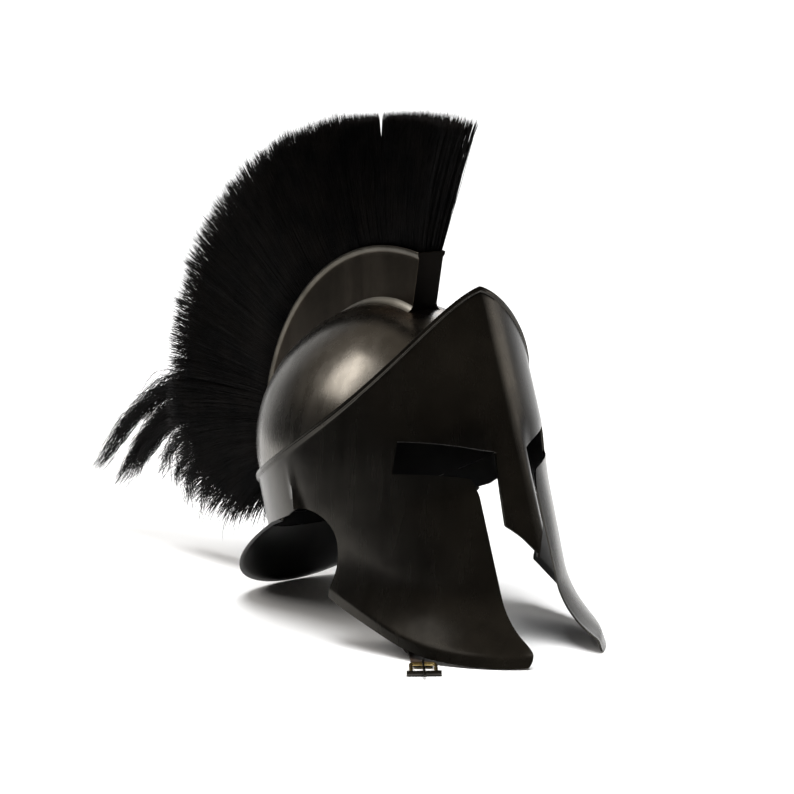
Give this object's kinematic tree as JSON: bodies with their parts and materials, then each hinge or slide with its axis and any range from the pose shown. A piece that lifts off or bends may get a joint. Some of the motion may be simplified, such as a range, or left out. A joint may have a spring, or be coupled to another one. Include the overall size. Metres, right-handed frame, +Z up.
{
  "type": "corinthian helmet",
  "caption": "Corinthian-style helmet of blackened sheet steel with eye slots, nose guard, long cheek plates, flared neck guard, chin strap and upright horse-hair crest.",
  "frame": {"origin": "on the surface it stands on, under the middle of the bounding box of all that is built", "axes": "+Z up, -Y the way the face looks, +X to the wearer's left; the crest runs fore and aft along Y"},
  "size_m": [0.2204, 0.6446, 0.3932],
  "materials": {
    "blackened_steel": "heat-blackened and oiled, satin",
    "skull_steel": "thinner blackening rubbed back to a brownish grey satin",
    "black_horse_hair": "dyed black horse hair, coarse and slightly glossy",
    "strap_leather": "black-brown strap leather",
    "buckle_brass": "dulled brass"
  },
  "bodies": {
    "root": {"face_mask": "blackened_steel", "skull": "skull_steel", "neck_guard": "blackened_steel", "crest_box": "blackened_steel", "plume": "black_horse_hair", "chin_strap_near": "strap_leather", "chin_strap_far": "strap_leather", "strap_rivet_near": "blackened_steel", "strap_rivet_far": "blackened_steel", "strap_buckle": "buckle_brass", "buckle_prong": "blackened_steel"}
  },
  "joints": []
}
